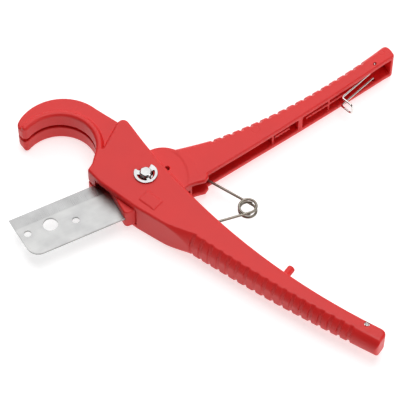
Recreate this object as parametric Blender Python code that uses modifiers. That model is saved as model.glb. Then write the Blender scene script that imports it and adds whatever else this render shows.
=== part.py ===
"""Plastic pipe cutter: hooked body, spring-opened lever, reversible blade and wire latch.

The cutter lies flat, open, with its pivot on the Z axis and its underside at z = 0.  The main
handle runs along +X, the hook points along -X, and the lever is swung up towards +Y.  Sizes
are in millimetres and degrees; MM turns them into metres where geometry is made.
"""

import bmesh
import bpy
from math import atan2, ceil, cos, hypot, pi, radians, sin, sqrt, tan
from mathutils import Matrix, Vector

MM = 0.001
GAP = 0.3                     # clearance between pieces that touch or pass each other
PIN_GAP = 0.1                 # radial clearance of a pin in its hole
OVERSHOOT = 12.0              # how far a cutter reaches past the body it cuts

# Body: hook, flat plate round the pivot, and main handle, all symmetric about one middle plane
BODY_THICKNESS = 18.6
BODY_END_THICKNESS = 12.0     # the main handle thins towards its end
BODY_LENGTH = 139.5           # pivot to the end of the main handle
TAPER_START = 18.0
PLATE_BOTTOM = -18.3          # lower side of the plate and outer wall
JAW_RADIUS = 18.2             # takes a 36 mm pipe
JAW_CENTRE = (-44.2, -10.6)
RIM_WIDTH = 3.5
WEB_STEP = 2.0                # the outer web of the hook is this much lower than the rim
WEB_RADIUS = 23.2
WEB_CENTRE = (-47.1, -5.2)
INNER_EDGE_RADIUS = 320.0     # long hollow curve of the handle's inner edge
INNER_EDGE_LOW = (107.0, -7.9)
BODY_EDGE_LOW = (72.0, -14.55)   # outer edge of the flat faces, a slow arc
BODY_EDGE_RADIUS = 900.0
WALL = 1.9
PAD_RAISE = 0.4

# Lever, described closed, lying along +X; it is swung open by OPEN_ANGLE
OPEN_ANGLE = 60.0
LEVER_LENGTH = 140.0
LEVER_THICKNESS = 12.4
LEVER_END_THICKNESS = 16.2
LEVER_TAPER_START = 55.0
ARM_RADIUS = 20.0             # the full-thickness arm starts this far from the pivot
HEAD_STEP = 0.45              # the head between the plates is this much thinner, each side
HEAD_FRONT = 18.0             # pivot to the end face that the blade comes out of
HEAD_SPINE = 14.2
HEAD_EDGE = 12.2
DISC_CENTRE = (9.5, 1.5)      # rounded back of the head
DISC_RADIUS = 12.8
LEVER_EDGE_LOW = (44.0, 5.6)
LEVER_EDGE_RADIUS = 305.0
LEVER_FLARE = 0.09            # the ribbed side rises this much per mm towards the pivot
LEVER_INNER_START = (27.7, -10.0)
LEVER_INNER_SLOPE = 0.184
LEVER_INNER_RADIUS = 2180.0

# Grip ribs, the same on both handles
GRIP_BULGE = 3.9              # how far the rounded side stands out past the flat faces
GROOVE_COUNT = 18
GROOVE_PITCH = 5.06
GROOVE_WIDTH = 2.8
GROOVE_FLOOR = 2.1
GROOVE_DEPTH = 0.8
GROOVE_START = 38.6
FLARE_END = 37.0              # the rounded side runs out over the length before this point

# Blade, described with its axis along X through the pivot and its cutting edge at +Y
BLADE_TILT = 1.9
BLADE_THICKNESS = 1.2
BLADE_EDGE = 11.0
BLADE_SPINE = 13.0
BLADE_HOLE_SPACING = 50.3
BLADE_END = 16.7              # from a large hole to the nearer end
BLADE_GRIND = 6.8
BLADE_CORNER = 6.0
BLADE_PINS = {"blade_pin_rear": (11.8, 0.0), "blade_pin_front": (-11.7, -3.3)}
SLOT_THICKNESS = 2.0

# Pins and the retaining clip
PIVOT_RADIUS = 3.5
PIVOT_TIP_RADIUS = 2.8
PIVOT_TIP_HEIGHT = 2.0
PIVOT_NECK_RADIUS = 2.1
PIVOT_HEAD_RADIUS = 5.3
PIVOT_HEAD_HEIGHT = 1.7
CLIP_RADIUS = 5.8
CLIP_RING = 1.7
CLIP_THICKNESS = 0.8
CLIP_MOUTH = 144.0            # direction that the mouth of the clip faces
BLADE_PIN_RADIUS = 1.7
BLADE_PIN_LENGTH = 8.6
CATCH_RADIUS = 1.05
CATCH_AT = (129.4, -8.6)

# Torsion spring between the handles
SPRING_WIRE = 0.63
SPRING_COIL = 4.1
SPRING_CENTRE = (47.4, 16.5)
SPRING_ON_LEVER = (25.15, -3.96)   # spring's foot in the lever, lever described closed
SPRING_PITCH = 1.38
MAIN_ARM_ANGLE = 53.5
MAIN_ARM_LENGTH = 33.0
LEVER_ARM_ANGLE = 180.9
LEVER_ARM_LENGTH = 33.4

# Wire latch near the end of the lever, lever described closed
LATCH_WIRE = 0.55
LATCH_AT = (129.9, 13.2)
LATCH_LEG = 23.7
LATCH_HOOK = 7.5
LATCH_SPAN = 6.5
LATCH_REST_ANGLE = -160.2
LATCH_BEND = 89.5

# Closing stop: a post in the body's channel meets a cross rib in the lever's channel
POST_X = 83.0
POST_RADIUS = 1.9
POST_TIP = 0.5
STOP_RIB = 2.4
THIN_RIB = 1.1

MID = BODY_THICKNESS / 2
BODY_CHANNEL = LEVER_THICKNESS / 2 + GAP        # half height of the channel the lever drops into
HEAD_HALF = LEVER_THICKNESS / 2 - HEAD_STEP
POCKET_HALF = HEAD_HALF + GAP
POCKET_RADIUS = hypot(HEAD_FRONT, HEAD_SPINE) + 0.9
BODY_FLOOR = PLATE_BOTTOM + 2 * WALL - 0.1
LEVER_CHANNEL_START = BLADE_END + 1.8
LEVER_CHEEK = LEVER_THICKNESS / 2 - SPRING_PITCH - 2 * SPRING_WIRE - 0.76   # leaves room for the spring


# ---------------------------------------------------------------- tools

def clear_scene():
    """Empty the file of the objects, meshes, curves and materials it opened with."""
    for thing in list(bpy.data.objects):
        bpy.data.objects.remove(thing, do_unlink=True)
    for store in (bpy.data.meshes, bpy.data.curves, bpy.data.materials):
        for block in list(store):
            store.remove(block)


def collection(name):
    """Make a collection in the scene."""
    group = bpy.data.collections.new(name)
    bpy.context.scene.collection.children.link(group)
    return group


def material(name, color, roughness, metallic):
    """Make a plain material from one colour, roughness and metallic value."""
    skin = bpy.data.materials.new(name)
    skin.use_nodes = True
    shader = skin.node_tree.nodes["Principled BSDF"]
    shader.inputs["Base Color"].default_value = (*color, 1.0)
    shader.inputs["Roughness"].default_value = roughness
    shader.inputs["Metallic"].default_value = metallic
    skin.diffuse_color = (*color, 1.0)
    return skin


def place(name, mesh, group):
    """Put a mesh in the scene as a named object, with its normals turned outward."""
    work = bmesh.new()
    work.from_mesh(mesh)
    bmesh.ops.remove_doubles(work, verts=work.verts, dist=1e-6)
    bmesh.ops.recalc_face_normals(work, faces=work.faces)
    work.to_mesh(mesh)
    work.free()
    thing = bpy.data.objects.new(name, mesh)
    group.objects.link(thing)
    return thing


def mesh_from_curve(curve, group):
    """Turn a curve into a welded mesh object and drop the curve."""
    bpy.context.view_layer.update()
    graph = bpy.context.evaluated_depsgraph_get()
    mesh = bpy.data.meshes.new_from_object(curve.evaluated_get(graph))
    mesh.name = curve.name
    name = curve.name
    where = curve.matrix_world.copy()
    bpy.data.objects.remove(curve, do_unlink=True)
    thing = place(name, mesh, group)
    thing.matrix_world = where
    return thing


def plate(name, outline, low, high, group):
    """Fill a flat outline and give it the thickness between two heights."""
    curve = bpy.data.curves.new(name, "CURVE")
    curve.dimensions = "2D"
    curve.fill_mode = "BOTH"
    curve.extrude = (high - low) / 2 * MM
    spline = curve.splines.new("POLY")
    spline.points.add(len(outline) - 1)
    for point, (x, y) in zip(spline.points, outline):
        point.co = (x * MM, y * MM, 0.0, 1.0)
    spline.use_cyclic_u = True
    thing = bpy.data.objects.new(name, curve)
    thing.location.z = (low + high) / 2 * MM
    group.objects.link(thing)
    return mesh_from_curve(thing, group)


def cylinder(name, centre, radius, low, high, group, sides=40):
    """Make an upright cylinder."""
    work = bmesh.new()
    middle = Matrix.Translation((centre[0] * MM, centre[1] * MM, (low + high) / 2 * MM))
    bmesh.ops.create_cone(
        work,
        cap_ends=True,
        segments=sides,
        radius1=radius * MM,
        radius2=radius * MM,
        depth=(high - low) * MM,
        matrix=middle,
    )
    mesh = bpy.data.meshes.new(name)
    work.to_mesh(mesh)
    work.free()
    return place(name, mesh, group)


def box(name, low, high, group):
    """Make a box between two opposite corners."""
    corners = ((low[0], low[1]), (high[0], low[1]), (high[0], high[1]), (low[0], high[1]))
    return plate(name, corners, low[2], high[2], group)


def loft(name, sections, group):
    """Skin a row of sections that have the same number of points, and cap both ends."""
    work = bmesh.new()
    rings = [[work.verts.new(Vector(point) * MM) for point in section] for section in sections]
    count = len(rings[0])
    for ring, following in zip(rings, rings[1:]):
        for i in range(count):
            j = (i + 1) % count
            work.faces.new((ring[i], ring[j], following[j], following[i]))
    work.faces.new(rings[0])
    work.faces.new(rings[-1])
    mesh = bpy.data.meshes.new(name)
    work.to_mesh(mesh)
    work.free()
    return place(name, mesh, group)


def wire(name, path, radius, group):
    """Make a round wire with closed ends along a path of points."""
    curve = bpy.data.curves.new(name, "CURVE")
    curve.dimensions = "3D"
    curve.bevel_depth = radius * MM
    curve.bevel_resolution = 2
    curve.use_fill_caps = True
    spline = curve.splines.new("POLY")
    spline.points.add(len(path) - 1)
    for point, place_at in zip(spline.points, path):
        point.co = (place_at[0] * MM, place_at[1] * MM, place_at[2] * MM, 1.0)
    thing = bpy.data.objects.new(name, curve)
    group.objects.link(thing)
    return mesh_from_curve(thing, group)


def combine(body, tool, operation):
    """Join, cut or intersect a body with a tool that stays hidden among the cutters."""
    step = body.modifiers.new(tool.name, "BOOLEAN")
    step.operation = operation
    step.solver = "EXACT"
    step.object = tool
    tool.parent = body.parent
    tool.display_type = "WIRE"
    tool.hide_render = True


def cut(body, tool):
    """Take the tool's shape out of the body."""
    combine(body, tool, "DIFFERENCE")


def join(body, tool):
    """Fuse the tool's shape to the body."""
    combine(body, tool, "UNION")


def keep_inside(body, tool):
    """Keep only what lies inside the tool."""
    combine(body, tool, "INTERSECT")


def finish(thing, skin, smooth_angle=35.0):
    """Give a piece its material and smooth shading with sharp edges kept."""
    thing.data.materials.clear()
    thing.data.materials.append(skin)
    thing.data.polygons.foreach_set("use_smooth", [True] * len(thing.data.polygons))
    thing.data.set_sharp_from_angle(angle=radians(smooth_angle))
    return thing


def arc(centre, radius, start, end, steps):
    """Points on a circle from one angle to another, in degrees."""
    turns = [radians(start + (end - start) * i / steps) for i in range(steps + 1)]
    return [(centre[0] + radius * cos(a), centre[1] + radius * sin(a)) for a in turns]


def sharp(points):
    """Mark points as corners without rounding."""
    return [(x, y, 0.0) for x, y in points]


def rounded_path(corners, radii, closed, step=18.0):
    """Round the corners of a 2D or 3D path with arcs of the given radii."""
    points = [Vector(c) for c in corners]
    size = len(points)
    path = []
    for i, (point, radius) in enumerate(zip(points, radii)):
        at_end = not closed and i in (0, size - 1)
        if radius == 0 or at_end:
            path.append(point)
            continue
        back = (points[i - 1] - point).normalized()
        ahead = (points[(i + 1) % size] - point).normalized()
        half = back.angle(ahead) / 2
        centre = point + (back + ahead).normalized() * (radius / sin(half))
        start = point + back * (radius / tan(half)) - centre
        end = point + ahead * (radius / tan(half)) - centre
        turn = pi - 2 * half
        count = max(2, ceil(turn / radians(step)))
        for k in range(count + 1):
            share = turn * k / count
            path.append(centre + start * (sin(turn - share) / sin(turn)) + end * (sin(share) / sin(turn)))
    return path


def rounded(corners):
    """Turn corners of the form (x, y, radius) into a closed outline."""
    path = rounded_path([c[:2] for c in corners], [c[2] for c in corners], True)
    return [(p.x, p.y) for p in path]


def hollow_curve(x, low, radius):
    """Height at x of a long arc whose lowest point is given."""
    return low[1] + radius - sqrt(radius ** 2 - (x - low[0]) ** 2)


def turned(point, angle):
    """Turn a point about the pivot."""
    a = radians(angle)
    return (point[0] * cos(a) - point[1] * sin(a), point[0] * sin(a) + point[1] * cos(a))


# ---------------------------------------------------------------- grip

def groove_stations(start):
    """Positions along a handle with the depth of the ribbed surface at each."""
    stations = []
    for i in range(GROOVE_COUNT):
        middle = start + GROOVE_PITCH * i
        stations.append((middle - GROOVE_WIDTH / 2, 0.0))
        stations.append((middle - GROOVE_FLOOR / 2, GROOVE_DEPTH))
        stations.append((middle + GROOVE_FLOOR / 2, GROOVE_DEPTH))
        stations.append((middle + GROOVE_WIDTH / 2, 0.0))
    return stations


def grip_form(name, side, start, end, half_height, edge, group):
    """Envelope of a handle: flat faces at half_height(x) and a rounded, ribbed outer side.

    edge(x) is where a flat face meets the rounded side, and side is -1 or +1 along Y.
    """
    stations = [(start, 0.0), (TAPER_START, 0.0), (28.0, 0.0)]
    stations += groove_stations(GROOVE_START) + [(end, 0.0)]
    steps = 8
    sections = []
    for x, depth in stations:
        half = half_height(x)
        brow = edge(x) - side * depth
        radius = (half ** 2 + GRIP_BULGE ** 2) / (2 * GRIP_BULGE)
        section = [(x, -side * 60.0, MID + half), (x, -side * 60.0, MID - half)]
        for k in range(steps + 1):
            z = -half + 2 * half * k / steps
            swell = sqrt(radius ** 2 - z ** 2) - (radius - GRIP_BULGE)
            section.append((x, brow + side * swell, MID + z))
        sections.append(section)
    return loft(name, sections, group)


# ---------------------------------------------------------------- body

def body_edge(x):
    """Where the main handle's flat faces end on the ribbed side."""
    level = hollow_curve(max(x, FLARE_END), BODY_EDGE_LOW, BODY_EDGE_RADIUS)
    return level + min(0.0, x - FLARE_END) * (level - PLATE_BOTTOM) / (FLARE_END - TAPER_START)


def body_half(x):
    """Half thickness of the body at x."""
    share = max(0.0, x - TAPER_START) / (BODY_LENGTH - TAPER_START)
    return (BODY_THICKNESS + (BODY_END_THICKNESS - BODY_THICKNESS) * share) / 2


def body_channel_half(x):
    """Half height of the channel along the main handle."""
    share = max(0.0, x - 60.0) / (BODY_LENGTH - 62.5)
    return BODY_CHANNEL + (body_half(BODY_LENGTH) - WALL - BODY_CHANNEL) * share


def body_floor(x):
    """Bottom of the channel along the main handle."""
    return body_edge(max(x, 60.0)) + 0.4


def body_outline():
    """Outline of plate, handle and hook rim, at full thickness."""
    cx, cy = JAW_CENTRE
    rim = JAW_RADIUS + RIM_WIDTH
    leave = 25.0
    start = (cx + JAW_RADIUS * cos(radians(leave)), cy + JAW_RADIUS * sin(radians(leave)))
    inner_end = hollow_curve(BODY_LENGTH, INNER_EDGE_LOW, INNER_EDGE_RADIUS)
    corners = [
        (start[0] + 2.9, start[1] - 6.5, 6.0),
        (start[0] + 3.4, start[1] - 11.0, 1.5),
        (-15.3, PLATE_BOTTOM + 2.0, 20.0),
        (7.5, PLATE_BOTTOM, 0.0),
        (BODY_LENGTH - 29.5, PLATE_BOTTOM, 0.0),
        (BODY_LENGTH, body_edge(BODY_LENGTH) - GRIP_BULGE - 0.3, 2.2),
        (BODY_LENGTH, inner_end, 3.0),
    ]
    steps = 22
    for i in range(1, steps):
        x = BODY_LENGTH + (-22.0 - BODY_LENGTH) * i / (steps - 1)
        if x < BODY_LENGTH - 3.0:
            corners.append((x, hollow_curve(x, INNER_EDGE_LOW, INNER_EDGE_RADIUS), 0.0))
    corners.append((-29.5, hollow_curve(-29.5, INNER_EDGE_LOW, INNER_EDGE_RADIUS) - 0.4, 3.0))
    outline = rounded(sharp([start]) + corners)
    outline += arc(JAW_CENTRE, rim, 31.3, 180.0, 30)
    outline += arc((cx - JAW_RADIUS - RIM_WIDTH / 2, cy), RIM_WIDTH / 2, 180.0, 360.0, 8)[1:-1]
    outline += arc(JAW_CENTRE, JAW_RADIUS, 180.0, leave, 30)[:-1]
    return outline


def web_outline():
    """Outline of the lower outer web of the hook, from the nose to the plate."""
    middle = JAW_RADIUS + RIM_WIDTH / 2
    wx, wy = WEB_CENTRE
    outline = arc(WEB_CENTRE, WEB_RADIUS, 178.5, 90.0, 20)
    outline += [(-29.2, wy + WEB_RADIUS + 0.4), (-25.0, wy + WEB_RADIUS - 1.0), (-22.5, 1.0)]
    outline += arc(JAW_CENTRE, middle, 33.0, 180.0, 24)
    outline += [(JAW_CENTRE[0] - middle, JAW_CENTRE[1] - 1.4)]
    outline += [(wx - 20.2, wy - 6.9), (wx - 20.9, wy - 6.3)]
    return outline


def pocket_outline():
    """Space between the two plates where the lever's head turns."""
    shoulder = HEAD_SPINE + 2 * GAP
    low = turned((-22.0, -shoulder), BLADE_TILT + OPEN_ANGLE)
    high = turned((0.0, -shoulder), BLADE_TILT + OPEN_ANGLE)
    floor = body_floor(0.0)
    share = (floor - low[1]) / (high[1] - low[1])
    corner = (low[0] + (high[0] - low[0]) * share, floor)
    top = HEAD_EDGE + 2 * GAP
    reach = ARM_RADIUS + GAP
    first = 180.0 - asin_degrees(top / POCKET_RADIUS)
    outline = arc((0.0, 0.0), POCKET_RADIUS, first, 272.0, 26)
    outline += [low, corner]
    outline += arc((0.0, 0.0), reach, asin_degrees(floor / reach), asin_degrees(top / reach), 14)
    return outline


def asin_degrees(value):
    """Arc sine in degrees."""
    return atan2(value, sqrt(1.0 - value ** 2)) * 180.0 / pi


def blade_slot_outline():
    """Space swept by the blade from open to closed, open to the left and below."""
    reach = hypot(BLADE_HOLE_SPACING + BLADE_END, BLADE_EDGE) + 0.6
    over = BLADE_EDGE + 2 * GAP
    near = turned((-8.0, over), BLADE_TILT)
    far = turned((-sqrt(reach ** 2 - over ** 2), over), BLADE_TILT)
    first = atan2(far[1], far[0]) * 180.0 / pi
    outline = [near] + arc((0.0, 0.0), reach, first, 181.8, 4)
    outline += [(-90.0, -2.15), (-90.0, -30.0), (-8.0, -30.0)]
    return outline


def make_body(group, cutters, skin):
    """Hook, plates and main handle, moulded as one piece."""
    body = plate("main_frame", body_outline(), -1.0, BODY_THICKNESS + 1.0, group)
    web = plate("hook_web", web_outline(), WEB_STEP, BODY_THICKNESS - WEB_STEP, cutters)
    form = grip_form("body_form", -1, -90.0, 150.0, body_half, body_edge, cutters)
    pad_corners = [(6.1, -13.6, 0.5), (15.3, -14.7, 0.5), (16.0, -8.7, 0.5), (6.6, -7.9, 0.5)]
    pad = plate("pad", rounded(pad_corners), MID, BODY_THICKNESS + PAD_RAISE, cutters)
    pocket = plate("pocket", pocket_outline(), MID - POCKET_HALF, MID + POCKET_HALF, cutters)
    spot = turned(DISC_CENTRE, OPEN_ANGLE)
    low, high = MID - POCKET_HALF, MID + POCKET_HALF
    disc_room = cylinder("disc_room", spot, DISC_RADIUS + GAP, low, high, cutters, 60)
    sections = []
    for x in (6.0, 60.0, 80.0, 100.0, 120.0, BODY_LENGTH - WALL - 0.3):
        half = body_channel_half(x)
        low = body_floor(x)
        sections.append(
            [(x, 60.0, MID + half), (x, 60.0, MID - half), (x, low, MID - half), (x, low, MID + half)]
        )
    channel = loft("body_channel", sections, cutters)
    kept_back = cylinder("channel_end", (0.0, 0.0), ARM_RADIUS - GAP, -5.0, 25.0, cutters, 72)
    cut(channel, kept_back)
    half_slot = SLOT_THICKNESS / 2
    slot = plate("blade_slot", blade_slot_outline(), MID - half_slot, MID + half_slot, cutters)
    hole = cylinder("pivot_hole", (0.0, 0.0), PIVOT_RADIUS + PIN_GAP, -5.0, 25.0, cutters)
    seat_radius = PIVOT_HEAD_RADIUS + 0.15
    seat = cylinder("head_seat", (0.0, 0.0), seat_radius, -5.0, PIVOT_HEAD_HEIGHT + 0.1, cutters)
    catch_hole = cylinder("catch_hole", CATCH_AT, CATCH_RADIUS + PIN_GAP, -5.0, 25.0, cutters, 24)
    post_length = POST_TIP - body_floor(POST_X) + 1.0
    post = cylinder("stop_post", (0.0, 0.0), POST_RADIUS, 0.0, post_length, cutters, 32)
    post.rotation_euler.x = radians(-90.0)
    post.location = Vector((POST_X, POST_TIP - post_length, MID)) * MM
    join(body, web)
    keep_inside(body, form)
    join(body, pad)
    for tool in (pocket, disc_room, channel, slot, hole, seat, catch_hole):
        cut(body, tool)
    join(body, post)
    return finish(body, skin)


# ---------------------------------------------------------------- lever

def lever_edge(x):
    """Where the lever's flat faces end on the ribbed side."""
    level = hollow_curve(x, LEVER_EDGE_LOW, LEVER_EDGE_RADIUS)
    return level + max(0.0, FLARE_END - x) * LEVER_FLARE


def lever_half(x):
    """Half thickness of the lever's arm at x."""
    share = max(0.0, x - LEVER_TAPER_START) / (LEVER_LENGTH - LEVER_TAPER_START)
    return (LEVER_THICKNESS + (LEVER_END_THICKNESS - LEVER_THICKNESS) * share) / 2


def lever_inner(x):
    """Inner edge of the lever, a very long arc."""
    run = x - LEVER_INNER_START[0]
    return LEVER_INNER_START[1] + LEVER_INNER_SLOPE * run + run ** 2 / (2 * LEVER_INNER_RADIUS)


def lever_floor(x):
    """Bottom of the channel on the lever's inner side."""
    return lever_edge(x) - 0.5


def head_outline():
    """Outline of the blade carrier and hinge disc, which turn between the plates."""
    front = turned((-HEAD_FRONT, -HEAD_SPINE), BLADE_TILT)
    heel = turned((11.0, -HEAD_SPINE), BLADE_TILT)
    nose = turned((-HEAD_FRONT, HEAD_EDGE), BLADE_TILT)
    corners = sharp([front, heel, (17.5, -12.6), (24.0, -12.0), (24.0, 6.0)])
    corners += sharp(arc(DISC_CENTRE, DISC_RADIUS, 22.0, 96.0, 14))
    corners.append((nose[0], nose[1], 6.0))
    return rounded(corners)


def arm_outline():
    """Outline of the lever's arm, left open on the ribbed side for the grip form."""
    x0, y0 = LEVER_INNER_START
    end = lever_inner(LEVER_LENGTH)
    corners = sharp(arc((0.0, 0.0), ARM_RADIUS, 50.0, -37.5, 16))
    corners += [(x0 - 2.7, y0 - 3.6, 1.0), (x0 - 0.3, y0 - 2.0, 0.8), (x0, y0, 0.0)]
    corners += sharp([(x, lever_inner(x)) for x in range(40, 137, 12)])
    corners += [(LEVER_LENGTH + 1.6, end, 2.2), (LEVER_LENGTH + 0.7, end + 12.5, 0.0)]
    corners += sharp([(LEVER_LENGTH - 5.0, 34.0), (20.0, 24.0)])
    return rounded(corners)


def rib(name, x, width, front, cutters):
    """Cross rib standing in the lever's channel."""
    half = lever_half(x) - LEVER_CHEEK + 0.6
    low = (x - width / 2, front, MID - half)
    high = (x + width / 2, lever_floor(x) + 0.8, MID + half)
    return box(name, low, high, cutters)


def make_lever(group, cutters, skin, hinge):
    """Blade carrier, hinge disc and arm of the lever, moulded as one piece."""
    lever = plate("lever_handle", arm_outline(), -5.0, 25.0, group)
    lever.parent = hinge
    form = grip_form("lever_form", 1, 5.0, 150.0, lever_half, lever_edge, cutters)
    head = plate("lever_head", head_outline(), MID - HEAD_HALF, MID + HEAD_HALF, cutters)
    sections = []
    end = LEVER_LENGTH - 4.0
    for i in range(11):
        x = LEVER_CHANNEL_START + (end - LEVER_CHANNEL_START) * i / 10
        half = lever_half(x) - LEVER_CHEEK
        high = lever_floor(x)
        sections.append(
            [(x, high, MID + half), (x, high, MID - half), (x, -60.0, MID - half), (x, -60.0, MID + half)]
        )
    channel = loft("lever_channel", sections, cutters)
    rear = BLADE_END + 0.15
    room = 0.2
    slot_corners = [(-30.0, -BLADE_SPINE - room), (rear, -BLADE_SPINE - room)]
    slot_corners += [(rear, BLADE_EDGE + room), (-30.0, BLADE_EDGE + room)]
    slot_half = BLADE_THICKNESS / 2 + GAP
    slot = plate("carrier_slot", slot_corners, MID - slot_half, MID + slot_half, cutters)
    slot.rotation_euler.z = radians(BLADE_TILT)
    hole = cylinder("lever_bore", (0.0, 0.0), PIVOT_RADIUS + PIN_GAP, -5.0, 25.0, cutters)
    keep_inside(lever, form)
    join(lever, head)
    for tool in (channel, slot, hole):
        cut(lever, tool)
    for name, spot in BLADE_PINS.items():
        x, y = turned(spot, BLADE_TILT)
        tool = cylinder(name + "_hole", (x, y), BLADE_PIN_RADIUS + PIN_GAP, -5.0, 25.0, cutters, 24)
        cut(lever, tool)
    latch_hole = cylinder("latch_hole", LATCH_AT, LATCH_WIRE + PIN_GAP, -5.0, 25.0, cutters, 16)
    cut(lever, latch_hole)
    join(lever, rib("spring_rib", 45.9, THIN_RIB, -1.4, cutters))
    join(lever, rib("front_web", 65.2, THIN_RIB, lever_inner(65.2) + 3.0, cutters))
    join(lever, rib("stop_rib", POST_X, STOP_RIB, POST_TIP + GAP, cutters))
    join(lever, rib("rear_web", 98.2, THIN_RIB, lever_inner(98.2) + 3.0, cutters))
    return finish(lever, skin)


# ---------------------------------------------------------------- blade, pins and clip

def blade_outline():
    """Reversible blade, the same at both ends, with rounded corners along its back."""
    middle = -BLADE_HOLE_SPACING / 2
    half = BLADE_END - middle
    right = [
        (middle + half - 1.8, -BLADE_SPINE, BLADE_CORNER),
        (middle + half, BLADE_EDGE, 0.0),
    ]
    left = [(2 * middle - x, y, r) for x, y, r in reversed(right)]
    return rounded(right + left)


def make_blade(group, cutters, skin, hinge):
    """Flat steel blade, ground from both faces to its cutting edge."""
    blade = plate("cutting_blade", blade_outline(), MID - 2.0, MID + 2.0, group)
    blade.parent = hinge
    blade.rotation_euler.z = radians(BLADE_TILT)
    half = BLADE_THICKNESS / 2
    grind = BLADE_EDGE - BLADE_GRIND
    profile = [(-30.0, half), (-30.0, -half), (grind, -half), (BLADE_EDGE + 0.1, -0.08)]
    profile += [(BLADE_EDGE + 0.1, 0.08), (grind, half)]
    sections = [[(x, y, MID + z) for y, z in profile] for x in (-90.0, 40.0)]
    section = loft("blade_section", sections, cutters)
    section.rotation_euler.z = radians(BLADE_TILT)
    keep_inside(blade, section)
    holes = [((x, 0.0), PIVOT_RADIUS + PIN_GAP) for x in (0.0, -BLADE_HOLE_SPACING)]
    for x, y in BLADE_PINS.values():
        holes.append(((x, y), BLADE_PIN_RADIUS + PIN_GAP))
        holes.append(((-BLADE_HOLE_SPACING - x, y), BLADE_PIN_RADIUS + PIN_GAP))
    for i, (spot, radius) in enumerate(holes):
        x, y = turned(spot, BLADE_TILT)
        cut(blade, cylinder("blade_hole_%d" % i, (x, y), radius, -5.0, 25.0, cutters, 32))
    return finish(blade, skin)


def turned_piece(name, profile, group, steps):
    """Spin a profile of (radius, height) points, listed from the top down, about Z."""
    mesh = bpy.data.meshes.new(name)
    points = [(r * MM, 0.0, z * MM) for r, z in profile]
    mesh.from_pydata(points, [(i, i + 1) for i in range(len(points) - 1)], [])
    thing = bpy.data.objects.new(name, mesh)
    group.objects.link(thing)
    spin = thing.modifiers.new("spin", "SCREW")
    spin.steps = steps
    spin.render_steps = steps
    spin.use_merge_vertices = True
    spin.merge_threshold = 0.00001
    return thing


def make_pivot_pin(group, skin):
    """Headed pin through the plates, with a neck for the clip at its top."""
    top = BODY_THICKNESS + PIVOT_TIP_HEIGHT
    neck = BODY_THICKNESS + 0.35
    profile = [
        (0.0, top),
        (PIVOT_TIP_RADIUS - 0.3, top),
        (PIVOT_TIP_RADIUS, top - 0.3),
        (PIVOT_TIP_RADIUS, neck + CLIP_THICKNESS + 0.1),
        (PIVOT_NECK_RADIUS, neck + CLIP_THICKNESS + 0.1),
        (PIVOT_NECK_RADIUS, neck),
        (PIVOT_RADIUS, neck),
        (PIVOT_RADIUS, PIVOT_HEAD_HEIGHT),
        (PIVOT_HEAD_RADIUS, PIVOT_HEAD_HEIGHT),
        (PIVOT_HEAD_RADIUS, 0.0),
        (0.0, 0.0),
    ]
    return finish(turned_piece("pivot_pin", profile, group, 40), skin)


def make_clip(group, skin):
    """Open ring clip with three inward tongues that grip the pin's neck."""
    inner = CLIP_RADIUS - CLIP_RING
    grip = PIVOT_NECK_RADIUS + PIN_GAP
    outline = arc((0.0, 0.0), CLIP_RADIUS, 34.0, 326.0, 44)
    spans = [(326.0, 300.0, grip), (287.0, 203.0, inner), (192.0, 168.0, grip)]
    spans += [(157.0, 73.0, inner), (60.0, 34.0, grip)]
    for start, end, radius in spans:
        outline += arc((0.0, 0.0), radius, start, end, max(3, int(abs(start - end) / 9)))
    outline = [turned(point, CLIP_MOUTH) for point in outline]
    low = BODY_THICKNESS + 0.4
    return finish(plate("pivot_e_clip", outline, low, low + CLIP_THICKNESS, group), skin)


def make_pins(group, skin, hinge):
    """Two pins that hold the blade in its carrier, and the catch for the latch."""
    half = BLADE_PIN_LENGTH / 2
    for name, spot in BLADE_PINS.items():
        pin = cylinder(name, (0.0, 0.0), BLADE_PIN_RADIUS, MID - half, MID + half, group, 24)
        x, y = turned(spot, BLADE_TILT)
        pin.parent = hinge
        pin.location.x = x * MM
        pin.location.y = y * MM
        finish(pin, skin)
    reach = body_half(CATCH_AT[0]) - 0.3
    catch = cylinder("latch_catch_pin", CATCH_AT, CATCH_RADIUS, MID - reach, MID + reach, group, 24)
    finish(catch, skin)


# ---------------------------------------------------------------- spring and latch

def half_coil(first, turn, top):
    """Points round the spring's coil from one angle, dropping by its pitch."""
    points = []
    steps = ceil(abs(turn) / 15.0)
    for i in range(1, steps + 1):
        swing = turn * i / steps
        a = radians(first + swing)
        z = top - SPRING_PITCH * swing / 360.0
        points.append((SPRING_COIL * cos(a), SPRING_COIL * sin(a), z))
    return points


def make_spring(group, skin):
    """Torsion spring, parted in the middle of its coil so each arm can turn with its end."""
    centre = Vector((*SPRING_CENTRE, 0.0))
    lever_foot = Vector((*turned(SPRING_ON_LEVER, OPEN_ANGLE), 0.0))
    body_foot = centre - lever_foot
    rise = SPRING_PITCH + SPRING_WIRE + GAP / 2
    arms = (
        ("spring_main_arm", body_foot, MAIN_ARM_ANGLE, MAIN_ARM_LENGTH, 1),
        ("spring_lever_arm", lever_foot, LEVER_ARM_ANGLE, LEVER_ARM_LENGTH, -1),
    )
    for name, foot, angle, length, way in arms:
        first = angle - 90.0 if way > 0 else angle - 90.0
        out = angle + 180.0 if way > 0 else angle
        touch = Vector((cos(radians(first)), sin(radians(first)), 0.0)) * SPRING_COIL
        tip = touch + Vector((cos(radians(out)), sin(radians(out)), 0.0)) * length
        path = [tip, touch]
        coil = half_coil(first, way * 352.0, 0.0)
        path += [Vector(point) for point in coil]
        shift = centre - foot + Vector((0.0, 0.0, way * rise))
        half = wire(name, [point + shift for point in path], SPRING_WIRE, group)
        half.location = (foot + Vector((0.0, 0.0, MID))) * MM
        finish(half, skin, 60.0)


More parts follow.
